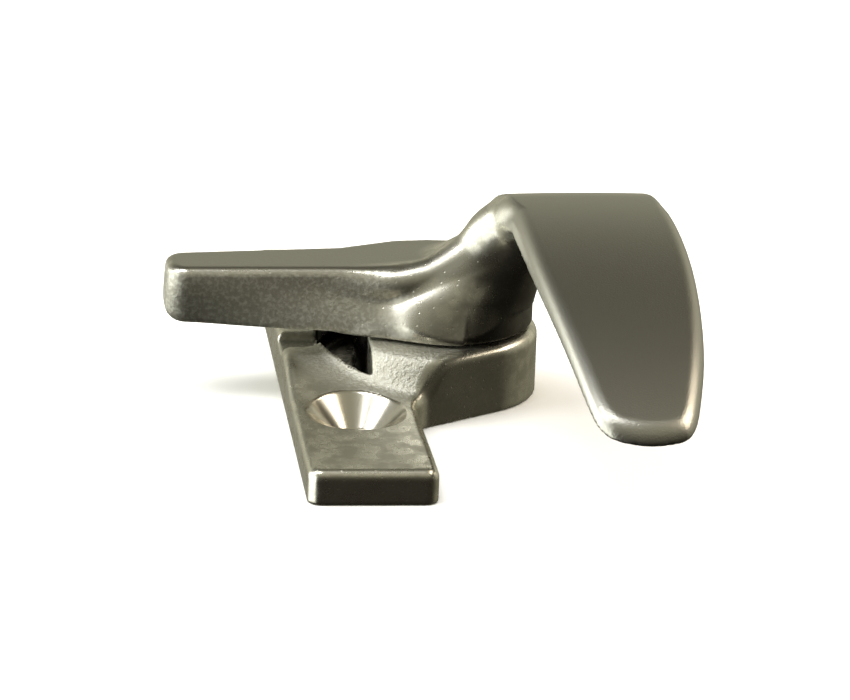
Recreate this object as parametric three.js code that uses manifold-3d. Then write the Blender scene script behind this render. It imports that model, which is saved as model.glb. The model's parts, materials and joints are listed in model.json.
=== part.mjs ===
// Cockspur window handle: a cast backplate screwed to the opening sash, and a cast lever with a
// spur that turns on a spindle and hooks over the fixed frame. Millimetres, +Z out of the sash.
// Origin: on the mounting face, midway between the two screw holes. The spur points to -X and the
// grip to -Y, which is the closed position.
import * as THREE from "three";
import { ConvexGeometry } from "three/addons/geometries/ConvexGeometry.js";
import { mergeVertices } from "three/addons/utils/BufferGeometryUtils.js";
import Module from "manifold-3d";

const wasm = await Module();
wasm.setup();

// ---- driving dimensions -------------------------------------------------------------------
const STRIP_WIDTH = 16; // the screw strip, along X
const STRIP_FRONT_REACH = 43.5; // its end under the grip, from the origin
const STRIP_REAR_REACH = 41.5; // its other end
const STRIP_END_THICKNESS = 4.5;
const STRIP_MIDDLE_THICKNESS = 6.5; // the strip swells under the spur
const STRIP_CORNER = 1.6;
const STRIP_FLARE = 0.5; // the right side spreads by this much at each end
const EDGE_CHAMFER = 1.2;
const SCREW_SPACING = 44;
const SCREW_HOLE_RADIUS = 2.9;
const COUNTERSINK_RADIUS = 6.5;

const PIVOT_X = 13.5; // the pivot stands beside the strip
const BOSS_TOP = 9.0;
const LOBE_RADIUS = 12.0;
const LOBE_WALL_ANGLE = THREE.MathUtils.degToRad(31); // the lobe's side walls, from the X axis
const INNER_CORNER = 2;

const STOP_WALL_X = 2.85; // end of the recess under the spur
const RECESS_INNER_RADIUS = 11.6; // the recess runs round the boss
const RECESS_OUTER_RADIUS = 16.6;
const RECESS_HALF_MOUTH = 2.7; // and opens sideways through the strip's edge
const RECESS_FLOOR = 2.4;
const MOUTH_FLOOR = 5.0;

const RUNNING_GAP = 0.3; // between the boss and the lever's hub
const HUB_BOTTOM = BOSS_TOP + RUNNING_GAP;
const HUB_RADIUS = 11.3;
const HUB_HEIGHT = 4.4;
const SPUR_REACH = 37.2; // pivot axis to the spur's tip
const SPUR_TOP = 17.5;
const SPUR_FRONT = -5.2; // its straight front side
const SPUR_FOOT = 2.2; // how far its foot has spread in front of that where it meets the hub
const SPUR_BACK_AT_TIP = 3.1; // its back side spreads from the tip
const SPUR_BACK_AT_HUB = 5.7; // to the hub
const HUB_BACK = 8.4; // where the spur's flat top ends behind the pivot
const SPUR_EDGE = 1.0;
const SPUR_RELIEF = 0.4; // the spur's underside stands this much higher over the strip

const GRIP_REACH = 60.6; // pivot axis to the grip's tip
const GRIP_TOP = 28.6;
const GRIP_TOP_Y = -8; // where the grip's back is highest
const GRIP_FALL = 0.0045; // its back falls by this times the distance squared
const GRIP_ROOT_THICKNESS = 4.2;
const GRIP_TIP_THICKNESS = 1.9;
const GRIP_ROOT_BEND = 9; // radius of the turn-down at the grip's root

const SPINDLE_RADIUS = 4.0;
const SPINDLE_TOP = 15.2;
const SPINDLE_END = 0.3; // just inside the mounting face
const RUNNING_CLEARANCE = 0.08;
const FITTING_CLEARANCE = 0.05;
const SPRING_CHAMBER_RADIUS = 8.6;
const SPRING_CHAMBER_DEPTH = 4.2;
const BUSH_RADIUS = 4.9;
const BUSH_FLANGE_RADIUS = 6.3;
const BUSH_FLANGE = 1.0;
const SPRING_RADIUS = 7.8;
const SPRING_HOLE_RADIUS = 4.25;
const SPRING_THICKNESS = 0.6;
const SPRING_CONE = 0.4;
const WASHER_RADIUS = 7.4;
const WASHER_THICKNESS = 0.8;
const FLAT_HALF_WIDTH = 3.3; // the spindle's two flats, which key the washer
const CLIP_THICKNESS = 0.6;
const CLIP_RADIUS = 5.8;
const GROOVE_RADIUS = 3.1;

const STOP_PIN_RADIUS = 1.3;
const STOP_PIN_ORBIT = 8.3;
const STOP_PIN_REST = THREE.MathUtils.degToRad(-45); // its angle round the pivot when closed
const STOP_SLOT_FLOOR = 6.4;
const TURN = Math.PI / 2; // closed to open

const ROUND_STEPS = 48;
const OVERCUT = 1; // how far a cutter runs past a face

// ---- solids -------------------------------------------------------------------------------
const toSolid = (geometry) => {
  const bare = geometry.index ? geometry.toNonIndexed() : geometry.clone();
  for (const name of Object.keys(bare.attributes)) {
    if (name !== "position") bare.deleteAttribute(name);
  }
  const merged = mergeVertices(bare, 1e-4);
  return new wasm.Manifold(
    new wasm.Mesh({
      numProp: 3,
      vertProperties: merged.attributes.position.array,
      triVerts: new Uint32Array(merged.index.array),
    }),
  );
};

const toGeometry = (solid) => {
  const { vertProperties, triVerts, numProp, numVert } = solid.getMesh();
  const position = new Float32Array(numVert * 3);
  for (let i = 0; i < numVert; i++) {
    position.set(vertProperties.subarray(i * numProp, i * numProp + 3), i * 3);
  }
  const geometry = new THREE.BufferGeometry();
  geometry.setAttribute("position", new THREE.BufferAttribute(position, 3));
  geometry.setIndex(new THREE.BufferAttribute(triVerts, 1));
  geometry.computeVertexNormals();
  return geometry;
};

// A plan outline raised from one height to another.
const prism = (shape, from, to, curveSegments = 12) =>
  new THREE.ExtrudeGeometry(shape, {
    depth: to - from,
    bevelEnabled: false,
    curveSegments,
  }).translate(0, 0, from);

// A body turned round the Z axis from [radius, height] points, listed upwards on the outside.
const turned = (points, steps = ROUND_STEPS) =>
  new THREE.LatheGeometry(
    points.map(([r, z]) => new THREE.Vector2(r, z)),
    steps,
  ).rotateX(Math.PI / 2);

const cylinder = (radius, from, to, steps = ROUND_STEPS) =>
  turned([[0, from], [radius, from], [radius, to], [0, to]], steps);

// A side view given in (y, z), carried along X between two planes.
const sidePrism = (shape, from, to) =>
  prism(shape, from, to)
    .applyMatrix4(
      new THREE.Matrix4().makeBasis(
        new THREE.Vector3(0, 1, 0),
        new THREE.Vector3(0, 0, 1),
        new THREE.Vector3(1, 0, 0),
      ),
    );

const polygon = (points) => new THREE.Shape(points.map(([x, y]) => new THREE.Vector2(x, y)));

// A polygon whose corners are rounded: each point is [x, y, radius].
const roundedPolygon = (corners) => {
  const shape = new THREE.Shape();
  corners.forEach(([x, y, radius], i) => {
    const corner = new THREE.Vector2(x, y);
    const [before, after] = [-1, 1].map((step) => {
      const [nx, ny] = corners[(i + step + corners.length) % corners.length];
      return new THREE.Vector2(nx - x, ny - y).normalize();
    });
    const half = before.angleTo(after) / 2;
    const back = radius / Math.tan(half);
    const start = corner.clone().addScaledVector(before, back);
    const centre = corner
      .clone()
      .addScaledVector(before.clone().add(after).normalize(), radius / Math.sin(half));
    const end = corner.clone().addScaledVector(after, back);
    const clockwise = before.cross(after) > 0;
    if (i === 0) shape.moveTo(start.x, start.y);
    else shape.lineTo(start.x, start.y);
    if (radius > 0) {
      const from = Math.atan2(start.y - centre.y, start.x - centre.x);
      const to = Math.atan2(end.y - centre.y, end.x - centre.x);
      shape.absarc(centre.x, centre.y, radius, from, to, clockwise);
    }
  });
  shape.closePath();
  return shape;
};

// An annular sector in plan, with square ends.
const sector = (inner, outer, from, to) => {
  const shape = new THREE.Shape();
  shape.absarc(0, 0, outer, from, to, false);
  shape.absarc(0, 0, inner, to, from, true);
  shape.closePath();
  return shape;
};

const toPivot = (geometry) => geometry.translate(PIVOT_X, 0, 0);

// ---- the backplate ------------------------------------------------------------------------
const halfWidth = STRIP_WIDTH / 2;

// Plan of the whole casting: the strip, and a lobe round the pivot whose walls lean in.
const platePlan = () => {
  const touchX = PIVOT_X + LOBE_RADIUS * Math.sin(LOBE_WALL_ANGLE);
  const touchY = LOBE_RADIUS * Math.cos(LOBE_WALL_ANGLE);
  const rootY = touchY + (touchX - halfWidth) * Math.tan(LOBE_WALL_ANGLE);
  const wallsMeetX = PIVOT_X + LOBE_RADIUS / Math.sin(LOBE_WALL_ANGLE);
  return roundedPolygon([
    [-halfWidth, STRIP_REAR_REACH, STRIP_CORNER],
    [-halfWidth, -STRIP_FRONT_REACH, STRIP_CORNER],
    [halfWidth + STRIP_FLARE, -STRIP_FRONT_REACH, STRIP_CORNER],
    [halfWidth, -rootY, INNER_CORNER],
    [wallsMeetX, 0, LOBE_RADIUS],
    [halfWidth, rootY, INNER_CORNER],
    [halfWidth + STRIP_FLARE, STRIP_REAR_REACH, STRIP_CORNER],
  ]);
};

// The strip seen from its side: thin ends with chamfered edges, and a swelling in the middle.
const stripSide = () => {
  const swellFrom = 18;
  const swellTo = 5.5;
  const end = STRIP_END_THICKNESS;
  return polygon([
    [-STRIP_FRONT_REACH, 0],
    [STRIP_REAR_REACH, 0],
    [STRIP_REAR_REACH, end - EDGE_CHAMFER],
    [STRIP_REAR_REACH - EDGE_CHAMFER, end],
    [swellFrom, end],
    [swellTo, STRIP_MIDDLE_THICKNESS],
    [-swellTo, STRIP_MIDDLE_THICKNESS],
    [-swellFrom, end],
    [-STRIP_FRONT_REACH + EDGE_CHAMFER, end],
    [-STRIP_FRONT_REACH, end - EDGE_CHAMFER],
  ]);
};

// The boss under the hub, with a cast skirt that sweeps down into the strip.
const bossBody = () =>
  turned([
    [0, 0],
    [21, 0],
    [21, 4.4],
    [18.5, 5.0],
    [17.4, 5.5],
    [16.6, 6.2],
    [15.8, 7.2],
    [15.2, 8.2],
    [14.1, BOSS_TOP - 0.1],
    [13.6, BOSS_TOP],
    [0, BOSS_TOP],
  ]);

const countersink = () =>
  turned(
    [
      [0, -OVERCUT],
      [SCREW_HOLE_RADIUS, -OVERCUT],
      [SCREW_HOLE_RADIUS, STRIP_END_THICKNESS - (COUNTERSINK_RADIUS - SCREW_HOLE_RADIUS)],
      [COUNTERSINK_RADIUS + 3, STRIP_END_THICKNESS + 3],
      [0, STRIP_END_THICKNESS + 3],
    ],
  );

// The open recess under the spur: a band round the boss, opening through the strip's left edge.
const recess = () => {
  const top = BOSS_TOP + OVERCUT;
  const band = toSolid(
    toPivot(prism(sector(RECESS_INNER_RADIUS, RECESS_OUTER_RADIUS, Math.PI / 2, 1.5 * Math.PI),
      RECESS_FLOOR, top, ROUND_STEPS)),
  );
  const mouth = toSolid(
    prism(
      polygon([
        [-halfWidth - OVERCUT, -RECESS_HALF_MOUTH],
        [PIVOT_X - RECESS_INNER_RADIUS - OVERCUT, -RECESS_HALF_MOUTH],
        [PIVOT_X - RECESS_INNER_RADIUS - OVERCUT, RECESS_HALF_MOUTH],
        [-halfWidth - OVERCUT, RECESS_HALF_MOUTH],
      ]),
      MOUTH_FLOOR,
      top,
    ),
  );
  const leftOfWall = toSolid(
    prism(polygon([[-40, -40], [STOP_WALL_X, -40], [STOP_WALL_X, 40], [-40, 40]]), 0, 40),
  );
  return band.intersect(leftOfWall).add(mouth);
};

// The slot in the boss's top that the stop pin runs in. It ends where the lever stops.
const stopSlot = () => {
  const half = STOP_PIN_RADIUS + 0.2;
  const clear = 0.15 / STOP_PIN_ORBIT;
  const ends = [STOP_PIN_REST - clear, STOP_PIN_REST + TURN + clear];
  let cut = toSolid(
    prism(sector(STOP_PIN_ORBIT - half, STOP_PIN_ORBIT + half, ...ends),
      STOP_SLOT_FLOOR, BOSS_TOP + OVERCUT, 24),
  );
  for (const angle of ends) {
    const end = cylinder(half, STOP_SLOT_FLOOR, BOSS_TOP + OVERCUT, 24);
    end.translate(STOP_PIN_ORBIT * Math.cos(angle), STOP_PIN_ORBIT * Math.sin(angle), 0);
    cut = cut.add(toSolid(end));
  }
  return cut.translate([PIVOT_X, 0, 0]);
};

const backplate = () => {
  const outline = toSolid(prism(platePlan(), 0, BOSS_TOP + OVERCUT, 16));
  const strip = toSolid(sidePrism(stripSide(), -halfWidth, halfWidth + 12));
  const lobeFloor = toSolid(toPivot(cylinder(21, 0, STRIP_END_THICKNESS)));
  const boss = toSolid(toPivot(bossBody()));
  const seat = BUSH_RADIUS + FITTING_CLEARANCE;
  const pivotBore = toSolid(
    toPivot(
      turned([
        [0, -OVERCUT],
        [SPRING_CHAMBER_RADIUS, -OVERCUT],
        [SPRING_CHAMBER_RADIUS, SPRING_CHAMBER_DEPTH],
        [seat, SPRING_CHAMBER_DEPTH],
        [seat, BOSS_TOP - BUSH_FLANGE + RUNNING_GAP],
        [BUSH_FLANGE_RADIUS + FITTING_CLEARANCE, BOSS_TOP - BUSH_FLANGE + RUNNING_GAP],
        [BUSH_FLANGE_RADIUS + FITTING_CLEARANCE, BOSS_TOP + OVERCUT],
        [0, BOSS_TOP + OVERCUT],
      ]),
    ),
  );
  let body = strip.add(lobeFloor).add(boss).intersect(outline);
  for (const side of [-1, 1]) {
    body = body.subtract(toSolid(countersink().translate(0, side * SCREW_SPACING / 2, 0)));
  }
  return toGeometry(body.subtract(recess()).subtract(pivotBore).subtract(stopSlot()));
};

// ---- the lever: spur, hub, neck and grip in one casting, drawn round the pivot axis ---------
// A level ring of the neck: a rounded rectangle at one height, as points for a convex hull.
const neckRing = ([x, y, z, halfX, halfY]) => {
  const points = [];
  const roundness = 0.8; // 1 is an ellipse and 0 a rectangle
  for (let i = 0; i < 32; i++) {
    const t = (i / 32) * 2 * Math.PI;
    const c = Math.cos(t);
    const s = Math.sin(t);
    points.push(
      new THREE.Vector3(
        x + halfX * Math.sign(c) * Math.abs(c) ** roundness,
        y + halfY * Math.sign(s) * Math.abs(s) ** roundness,
        z,
      ),
    );
  }
  return points;
};

// The neck leans from the hub out to the grip's root: centre x, y, height, half sizes.
const neck = () => {
  const rings = [
    [0, -0.3, HUB_BOTTOM + 2.4, 10.9, 10.9],
    [1.4, -0.6, 14.2, 10.2, 9.4],
    [4.8, -1.0, SPUR_TOP, 7.9, 7.3],
    [8.4, -1.4, 20.6, 6.8, 5.9],
    [11.6, -2.4, 23.8, 7.7, 5.2],
    [14.6, -5.2, 26.4, 8.5, 3.1],
    [15.9, -7.0, 27.9, 8.6, 2.4],
  ].map(neckRing);
  return rings
    .slice(1)
    .map((ring, i) => toSolid(new ConvexGeometry([...rings[i], ...ring])))
    .reduce((all, one) => all.add(one));
};

// The ridge climbs from the spur's front edge into the neck: centre x, y, z and radius.
const ridge = () => {
  const beads = [
    [-14, -3.8, 15.4, 1.2],
    [-9.4, -4.3, 15.6, 1.75],
    [-5.5, -4.8, 15.6, 2.4],
    [0.5, -4.2, 16.4, 3.4],
    [5.0, -2.8, 20.0, 4.1],
    [7.9, -3.2, 22.6, 4.2],
  ].map(([x, y, z, radius]) => {
    const { position } = new THREE.IcosahedronGeometry(radius, 2).translate(x, y, z).attributes;
    return Array.from({ length: position.count }, (_, i) =>
      new THREE.Vector3().fromBufferAttribute(position, i));
  });
  return beads
    .slice(1)
    .map((bead, i) => toSolid(new ConvexGeometry([...beads[i], ...bead])))
    .reduce((all, one) => all.add(one));
};

const hub = () =>
  toSolid(
    turned([
      [0, HUB_BOTTOM],
      [HUB_RADIUS - 0.8, HUB_BOTTOM],
      [HUB_RADIUS - 0.2, HUB_BOTTOM + 0.25],
      [HUB_RADIUS, HUB_BOTTOM + 0.8],
      [HUB_RADIUS, HUB_BOTTOM + HUB_HEIGHT - 2],
      [HUB_RADIUS - 0.9, HUB_BOTTOM + HUB_HEIGHT],
      [0, HUB_BOTTOM + HUB_HEIGHT],
    ]),
  );

// The spur in plan, and in side view, where its tip is rounded off below to ride up a wedge.
const spur = () => {
  const plan = new THREE.ExtrudeGeometry(
    roundedPolygon([
      [-SPUR_REACH + SPUR_EDGE, SPUR_FRONT + SPUR_EDGE, 1.6],
      [4, SPUR_FRONT + SPUR_EDGE, 0.5],
      [4, HUB_BACK - SPUR_EDGE, 1],
      [-4.5, HUB_BACK - SPUR_EDGE, 4],
      [-11, SPUR_BACK_AT_HUB - SPUR_EDGE, 6],
      [-SPUR_REACH + SPUR_EDGE, SPUR_BACK_AT_TIP - SPUR_EDGE, 1.6],
    ]),
    {
      depth: SPUR_TOP - HUB_BOTTOM - SPUR_EDGE,
      bevelEnabled: true,
      bevelSize: SPUR_EDGE,
      bevelThickness: SPUR_EDGE,
      bevelSegments: 3,
      curveSegments: 6,
    },
  ).translate(0, 0, HUB_BOTTOM);
  const footTop = SPUR_TOP - 2;
  const foot = new ConvexGeometry(
    [
      [-25, SPUR_FRONT, HUB_BOTTOM],
      [-12.6, SPUR_FRONT - SPUR_FOOT, HUB_BOTTOM],
      [-6, SPUR_FRONT - 1.6 * SPUR_FOOT, HUB_BOTTOM],
      [0, SPUR_FRONT - 1.6 * SPUR_FOOT, HUB_BOTTOM],
      [0, 0, HUB_BOTTOM],
      [-25, 0, HUB_BOTTOM],
      [-25, SPUR_FRONT + 0.02, footTop],
      [0, SPUR_FRONT + 0.02, footTop],
      [0, 0, footTop],
      [-25, 0, footTop],
    ].map(([x, y, z]) => new THREE.Vector3(x, y, z)),
  );
  const tipRadius = 3;
  const side = roundedPolygon([
    [-SPUR_REACH - 0.25, HUB_BOTTOM, tipRadius],
    [0, HUB_BOTTOM, 0],
    [0, SPUR_TOP, 0],
    [-SPUR_REACH + 0.5, SPUR_TOP, 1],
  ]);
  const sideBody = prism(side, -20, 20, 6).applyMatrix4(
    new THREE.Matrix4().makeBasis(
      new THREE.Vector3(1, 0, 0),
      new THREE.Vector3(0, 0, 1),
      new THREE.Vector3(0, -1, 0),
    ),
  );
  const relief = prism(
    polygon([
      [-PIVOT_X - halfWidth - 1.5, -20],
      [-HUB_RADIUS - 0.6, -20],
      [-HUB_RADIUS - 0.6, 20],
      [-PIVOT_X - halfWidth - 1.5, 20],
    ]),
    0,
    HUB_BOTTOM + SPUR_RELIEF,
  );
  return toSolid(plan)
    .add(toSolid(foot))
    .intersect(toSolid(sideBody))
    .subtract(toSolid(relief));
};

const gripBack = (y) => GRIP_TOP - GRIP_FALL * (y - GRIP_TOP_Y) ** 2;

// The grip's side view: a long shallow arch that thins towards the tip and turns down at its root.
const gripSide = () => {
  const steps = 16;
  const back = [];
  const under = [];
  for (let i = 0; i <= steps; i++) {
    const share = i / steps;
    const y = THREE.MathUtils.lerp(GRIP_TOP_Y, -GRIP_REACH, share);
    back.push([y, gripBack(y)]);
    const thickness = THREE.MathUtils.lerp(GRIP_ROOT_THICKNESS, GRIP_TIP_THICKNESS, share);
    under.push([y, gripBack(y) - thickness]);
  }
  for (const degrees of [15, 30, 42]) {
    const angle = THREE.MathUtils.degToRad(degrees);
    back.unshift([
      GRIP_TOP_Y + GRIP_ROOT_BEND * Math.sin(angle),
      GRIP_TOP - GRIP_ROOT_BEND * (1 - Math.cos(angle)),
    ]);
  }
  return polygon([...back, ...under.reverse(), [GRIP_TOP_Y + 3, GRIP_TOP - 5]]);
};

// The grip in plan: a leaf that bows outwards, with a blunt rounded tip.
const gripPlan = () => {
  const inner = [
    [7.2, 1],
    [6.4, -5],
    [6.7, -14],
    [7.4, -26],
    [8.5, -36],
    [10.1, -47],
    [11.6, -55.5],
    [12.9, -58.6],
    [15, -60],
    [18.5, -GRIP_REACH],
  ];
  const outer = [
    [22.4, -60],
    [24.2, -58.2],
    [25.4, -54],
    [26.8, -46],
    [27.6, -36],
    [27.8, -25],
    [27.2, -13],
    [26, -7.5],
    [24.4, -3.4],
    [22.2, 1],
  ];
  const edge = new THREE.SplineCurve([...inner, ...outer].map(([x, y]) => new THREE.Vector2(x, y)));
  return new THREE.Shape(edge.getPoints(54));
};

const grip = () =>
  toSolid(sidePrism(gripSide(), 0, 40)).intersect(toSolid(prism(gripPlan(), 0, 40)));

const lever = () => {
  const spindleHole = toSolid(cylinder(SPINDLE_RADIUS + FITTING_CLEARANCE, 0, SPINDLE_TOP + 0.1));
  const pinHole = toSolid(
    cylinder(STOP_PIN_RADIUS + FITTING_CLEARANCE, 0, SPINDLE_TOP - 2, 24).translate(
      STOP_PIN_ORBIT * Math.cos(STOP_PIN_REST),
      STOP_PIN_ORBIT * Math.sin(STOP_PIN_REST),
      0,
    ),
  );
  const body = hub().add(spur()).add(ridge()).add(neck()).add(grip());
  return toPivot(toGeometry(body.subtract(spindleHole).subtract(pinHole)));
};

// ---- the pieces on the pivot axis -----------------------------------------------------------
const washerTop = SPRING_CHAMBER_DEPTH - 2 * (SPRING_THICKNESS + SPRING_CONE) - 0.15;
const washerBottom = washerTop - WASHER_THICKNESS;
const clipTop = washerBottom - 0.05;
const clipBottom = clipTop - CLIP_THICKNESS;

// The two flats at the spindle's lower end, as the space outside them.
const flatCutters = (halfGap, from, to) =>
  [-1, 1].map((side) =>
    toSolid(new THREE.BoxGeometry(20, 10, to - from)
      .translate(0, side * (halfGap + 5), (from + to) / 2)),
  );

const spindle = () => {
  let body = toSolid(
    turned([
      [0, SPINDLE_END],
      [SPINDLE_RADIUS - 0.7, SPINDLE_END],
      [SPINDLE_RADIUS - 0.3, SPINDLE_END + 0.2],
      [SPINDLE_RADIUS - 0.3, clipBottom - 0.03],
      [GROOVE_RADIUS, clipBottom - 0.03],
      [GROOVE_RADIUS, clipTop + 0.03],
      [SPINDLE_RADIUS, clipTop + 0.03],
      [SPINDLE_RADIUS, SPINDLE_TOP - 0.5],
      [SPINDLE_RADIUS - 0.5, SPINDLE_TOP],
      [0, SPINDLE_TOP],
    ]),
  );
  for (const cutter of flatCutters(FLAT_HALF_WIDTH, 0, washerTop + 0.1)) {
    body = body.subtract(cutter);
  }
  return toPivot(toGeometry(body));
};

const bush = () => {
  const top = HUB_BOTTOM - 0.05;
  const under = BOSS_TOP - BUSH_FLANGE + RUNNING_GAP + 0.02;
  const bore = SPINDLE_RADIUS + RUNNING_CLEARANCE;
  return toPivot(
    turned([
      [bore, SPRING_CHAMBER_DEPTH + 0.1],
      [BUSH_RADIUS, SPRING_CHAMBER_DEPTH + 0.1],
      [BUSH_RADIUS, under],
      [BUSH_FLANGE_RADIUS, under],
      [BUSH_FLANGE_RADIUS, top],
      [bore, top],
      [bore, SPRING_CHAMBER_DEPTH + 0.1],
    ]),
  );
};

// A disc spring between two heights; cone is positive when its inner rim is the higher one.
const discSpring = (bottom, cone) => {
  const innerBottom = bottom + Math.max(cone, 0);
  const outerBottom = bottom + Math.max(-cone, 0);
  return toPivot(
    turned([
      [SPRING_HOLE_RADIUS, innerBottom],
      [SPRING_RADIUS, outerBottom],
      [SPRING_RADIUS, outerBottom + SPRING_THICKNESS],
      [SPRING_HOLE_RADIUS, innerBottom + SPRING_THICKNESS],
      [SPRING_HOLE_RADIUS, innerBottom],
    ]),
  );
};

const retainingWasher = () => {
  const disc = toSolid(cylinder(WASHER_RADIUS, washerBottom, washerTop));
  let hole = toSolid(cylinder(SPINDLE_RADIUS + RUNNING_CLEARANCE, 0, washerTop + OVERCUT));
  for (const cutter of flatCutters(FLAT_HALF_WIDTH + RUNNING_CLEARANCE, 0, 9)) {
    hole = hole.subtract(cutter);
  }
  return toPivot(toGeometry(disc.subtract(hole)));
};

// An E-clip: a ring with a mouth and three inner lugs that sit in the spindle's groove.
const retainingClip = () => {
  const ring = toSolid(cylinder(CLIP_RADIUS, clipBottom, clipTop));
  const inner = toSolid(cylinder(CLIP_RADIUS - 1.3, 0, 9));
  const lugHole = toSolid(cylinder(GROOVE_RADIUS + 0.06, 0, 9));
  const mouth = toSolid(new THREE.BoxGeometry(10, 5.4, 10).translate(5, 0, 5));
  const lugs = [Math.PI / 2 + 0.35, Math.PI, 1.5 * Math.PI - 0.35].map((angle) =>
    toSolid(new THREE.BoxGeometry(2.2, 2.6, CLIP_THICKNESS)
      .translate(GROOVE_RADIUS + 1.0, 0, (clipBottom + clipTop) / 2)
      .rotateZ(angle)),
  );
  const body = lugs
    .reduce((all, lug) => all.add(lug), ring.subtract(inner))
    .subtract(mouth)
    .subtract(lugHole);
  return toPivot(toGeometry(body));
};

const stopPin = () =>
  cylinder(STOP_PIN_RADIUS, STOP_SLOT_FLOOR + 0.3, SPINDLE_TOP - 2.2, 24).translate(
    PIVOT_X + STOP_PIN_ORBIT * Math.cos(STOP_PIN_REST),
    STOP_PIN_ORBIT * Math.sin(STOP_PIN_REST),
    0,
  );

// ---- the assembly -----------------------------------------------------------------------------
const satinSteel = new THREE.MeshStandardMaterial({ color: 0x8a877c, roughness: 0.35, metalness: 1 });
const castSteel = new THREE.MeshStandardMaterial({ color: 0x84826f, roughness: 0.5, metalness: 1 });
const turnedSteel = new THREE.MeshStandardMaterial({ color: 0xb9b8b0, roughness: 0.25, metalness: 1 });
const springSteel = new THREE.MeshStandardMaterial({ color: 0x5d5f63, roughness: 0.4, metalness: 1 });
const acetal = new THREE.MeshStandardMaterial({ color: 0xe6e2d6, roughness: 0.5, metalness: 0 });

const handle = new THREE.Group();
const add = (name, geometry, material) => {
  const mesh = new THREE.Mesh(geometry, material);
  mesh.name = name;
  handle.add(mesh);
};

const upperSpringBottom = washerTop + 0.05 + SPRING_THICKNESS + SPRING_CONE;
add("backplate", backplate(), castSteel);
add("lever_casting", lever(), satinSteel);
add("pivot_spindle", spindle(), turnedSteel);
add("pivot_bush", bush(), acetal);
add("stop_pin", stopPin(), turnedSteel);
add("disc_spring_upper", discSpring(upperSpringBottom + 0.03, SPRING_CONE), springSteel);
add("disc_spring_lower", discSpring(washerTop + 0.03, -SPRING_CONE), springSteel);
add("retaining_washer", retainingWasher(), turnedSteel);
add("retaining_clip", retainingClip(), springSteel);

export default handle;
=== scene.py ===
"""Cockspur window handle: the castings and the pivot parts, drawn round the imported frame.

The two castings are solids given by a signed distance, which is below zero inside the metal. Their
fillets and rounded edges are arcs in that field. Its zero surface is sampled on a regular lattice,
and the points are then moved onto it, all as whole arrays. The pivot parts are profiles turned
round the pivot axis. Sizes inside the classes are millimetres; meshes are metres.
"""

import json
import logging
import math
from dataclasses import dataclass, field
from enum import Enum
from typing import Callable, Optional, Sequence

import bpy
import numpy as np
from mathutils import Matrix, Vector


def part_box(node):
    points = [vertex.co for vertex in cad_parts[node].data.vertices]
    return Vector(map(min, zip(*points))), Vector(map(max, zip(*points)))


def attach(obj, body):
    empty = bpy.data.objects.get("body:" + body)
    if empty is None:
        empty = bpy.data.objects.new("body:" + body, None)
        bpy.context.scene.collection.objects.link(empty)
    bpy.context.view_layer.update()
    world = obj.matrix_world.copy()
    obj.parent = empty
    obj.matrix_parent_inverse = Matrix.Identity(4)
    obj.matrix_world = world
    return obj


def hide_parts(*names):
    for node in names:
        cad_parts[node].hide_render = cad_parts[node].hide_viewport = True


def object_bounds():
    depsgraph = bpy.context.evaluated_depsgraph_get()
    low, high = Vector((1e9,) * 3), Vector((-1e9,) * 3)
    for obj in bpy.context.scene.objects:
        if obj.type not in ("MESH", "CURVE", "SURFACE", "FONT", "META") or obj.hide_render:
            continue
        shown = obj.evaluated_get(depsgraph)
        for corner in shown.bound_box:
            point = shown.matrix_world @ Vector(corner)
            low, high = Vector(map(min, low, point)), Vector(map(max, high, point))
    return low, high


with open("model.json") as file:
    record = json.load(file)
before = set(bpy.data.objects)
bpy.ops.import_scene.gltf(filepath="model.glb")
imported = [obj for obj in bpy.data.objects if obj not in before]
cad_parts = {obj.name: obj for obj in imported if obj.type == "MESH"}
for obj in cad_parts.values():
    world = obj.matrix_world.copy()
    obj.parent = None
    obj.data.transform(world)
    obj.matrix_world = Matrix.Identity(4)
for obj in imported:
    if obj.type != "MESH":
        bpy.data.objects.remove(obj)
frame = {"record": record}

Array = np.ndarray
Distance = Callable[[Array], Array]

MM = 0.001
FAR_BELOW, FAR_ABOVE = -9.0, 99.0  # heights past either face of the castings
CAD_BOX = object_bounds()
LOG = logging.getLogger("cockspur_handle")


class Body(Enum):
    """The two bodies of the handle that move against each other."""

    BASE = "base"
    LEVER = "lever"


# ---- distances ----------------------------------------------------------------------------------
def meet(a: Array, b: Array, radius: float) -> Array:
    """The metal that two solids share, with the convex edge between them rounded.

    Formula: both solids shrink by the radius, their distances join as the sides of a right-angled
    triangle where both are positive, and the radius is given back.

    Args:
        a: distance to the first solid.
        b: distance to the second solid.
        radius: radius of the rounded edge.

    Returns:
        The distance to the shared solid.
    """
    a, b = a + radius, b + radius
    inside = np.minimum(np.maximum(a, b), 0.0)
    return inside + np.hypot(np.maximum(a, 0.0), np.maximum(b, 0.0)) - radius


def join(a: Array, b: Array, radius: float) -> Array:
    """Two solids as one, with a cast fillet in the hollow between them.

    Formula: the nearer solid's distance, less a quarter-circle fillet where both are closer than
    the radius.

    Args:
        a: distance to the first solid.
        b: distance to the second solid.
        radius: radius of the fillet.

    Returns:
        The distance to the joined solid.
    """
    fillet = np.hypot(np.maximum(radius - a, 0.0), np.maximum(radius - b, 0.0))
    return np.maximum(np.minimum(a, b), radius) - fillet


def cut(solid: Array, tool: Array, radius: float) -> Array:
    """A solid with a tool's shape taken out of it and the cut's edge rounded."""
    return meet(solid, -tool, radius)


def box_plan(x: Array, y: Array, half_x: float, half_y: float, corner: float) -> Array:
    """Distance in plan to a rectangle about the origin with rounded corners."""
    return meet(np.abs(x) - half_x, np.abs(y) - half_y, corner)


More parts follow.
